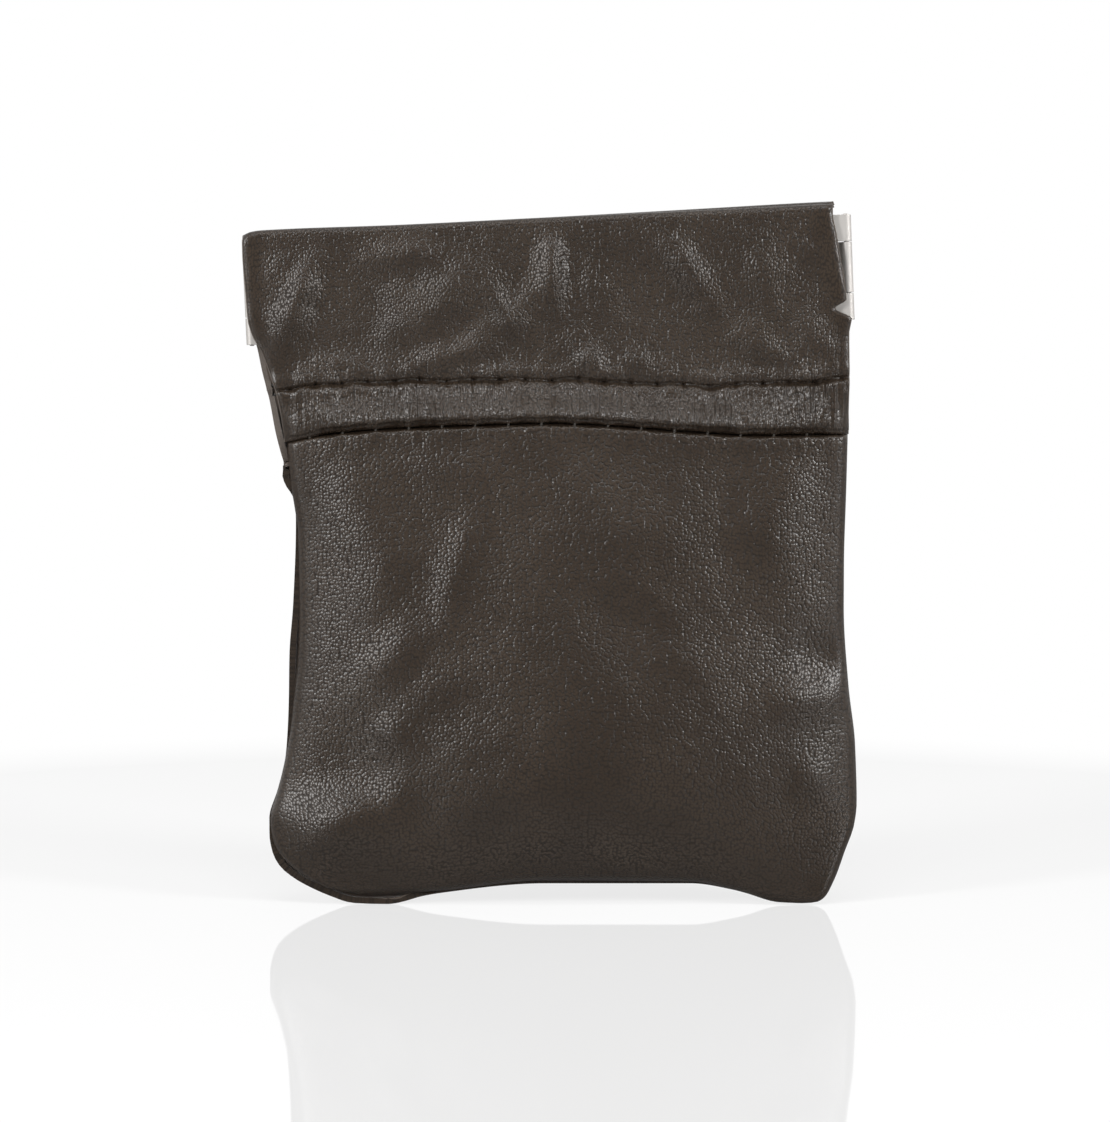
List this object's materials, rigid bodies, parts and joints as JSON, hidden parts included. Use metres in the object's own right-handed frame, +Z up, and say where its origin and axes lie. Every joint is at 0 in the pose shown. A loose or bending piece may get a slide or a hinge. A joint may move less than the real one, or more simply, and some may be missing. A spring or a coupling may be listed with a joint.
{
  "type": "squeeze coin purse",
  "caption": "Soft leather coin purse with a flat spring-frame mouth that bows open when its hinged ends are pressed together.",
  "frame": {"origin": "on the surface that the purse stands on, under the middle of its overall box", "axes": "+X to the right along the mouth, the front faces -Y, +Z up; the mouth leans 2.4 degrees to the left"},
  "size_m": [0.0858, 0.017, 0.0976],
  "materials": {
    "leather": "soft pebbled grain, satin, dark brown",
    "nickel_steel": "nickel-plated spring steel, satin",
    "thread": "twisted sewing thread, dark brown"
  },
  "bodies": {
    "pouch_edge": {"pouch_seam": "leather", "seam_thread": "thread"},
    "front_half": {"front_panel": "leather", "front_casing": "leather", "front_strip_middle": "nickel_steel", "front_tunnel_thread": "thread", "front_band_thread": "thread"},
    "back_half": {"back_panel": "leather", "back_casing": "leather", "back_strip_middle": "nickel_steel", "back_tunnel_thread": "thread", "back_band_thread": "thread"},
    "left_end": {"left_hinge_pin": "nickel_steel"},
    "right_end": {"right_hinge_pin": "nickel_steel"},
    "front_left_arm": {"front_strip_left_arm": "nickel_steel"},
    "front_right_arm": {"front_strip_right_arm": "nickel_steel"},
    "back_left_arm": {"back_strip_left_arm": "nickel_steel"},
    "back_right_arm": {"back_strip_right_arm": "nickel_steel"}
  },
  "joints": [
    {"name": "front_lip_open", "type": "hinge", "parent": "pouch_edge", "child": "front_half", "pos_m": [0, 0, 0], "axis": [1, 0, 0], "range_deg": [0, 8], "stiffness_Nm_per_rad": 0.3, "springref_deg": -2.86, "deforming": ["front_casing"]},
    {"name": "back_lip_open", "type": "hinge", "parent": "pouch_edge", "child": "back_half", "pos_m": [0, 0, 0], "axis": [-1, 0, 0], "range_deg": [0, 8], "deforming": ["back_casing"]},
    {"name": "left_end_squeeze", "type": "slide", "parent": "pouch_edge", "child": "left_end", "axis": [0.9991, 0, 0.0419], "range_m": [0, 0.00293]},
    {"name": "right_end_squeeze", "type": "slide", "parent": "pouch_edge", "child": "right_end", "axis": [-0.9991, 0, -0.0419], "range_m": [0, 0.00293]},
    {"name": "front_left_pivot", "type": "hinge", "parent": "left_end", "child": "front_left_arm", "pos_m": [-0.04188, 0, 0.08572], "axis": [0.0419, 0, -0.9991], "range_deg": [0, 28.01]},
    {"name": "back_left_pivot", "type": "hinge", "parent": "left_end", "child": "back_left_arm", "pos_m": [-0.04188, 0, 0.08572], "axis": [-0.0419, 0, 0.9991], "range_deg": [0, 28.01]},
    {"name": "front_right_pivot", "type": "hinge", "parent": "right_end", "child": "front_right_arm", "pos_m": [0.04115, 0, 0.0892], "axis": [-0.0419, 0, 0.9991], "range_deg": [0, 28.01]},
    {"name": "back_right_pivot", "type": "hinge", "parent": "right_end", "child": "back_right_arm", "pos_m": [0.04115, 0, 0.0892], "axis": [0.0419, 0, -0.9991], "range_deg": [0, 28.01]}
  ],
  "couplings": [
    {"joint": "back_lip_open", "follows": "front_lip_open", "ratio": 1},
    {"joint": "left_end_squeeze", "follows": "front_lip_open", "m_per_rad": 0.020958},
    {"joint": "right_end_squeeze", "follows": "front_lip_open", "m_per_rad": 0.020958},
    {"joint": "front_left_pivot", "follows": "front_lip_open", "ratio": 3.5},
    {"joint": "back_left_pivot", "follows": "front_lip_open", "ratio": 3.5},
    {"joint": "front_right_pivot", "follows": "front_lip_open", "ratio": 3.5},
    {"joint": "back_right_pivot", "follows": "front_lip_open", "ratio": 3.5}
  ]
}
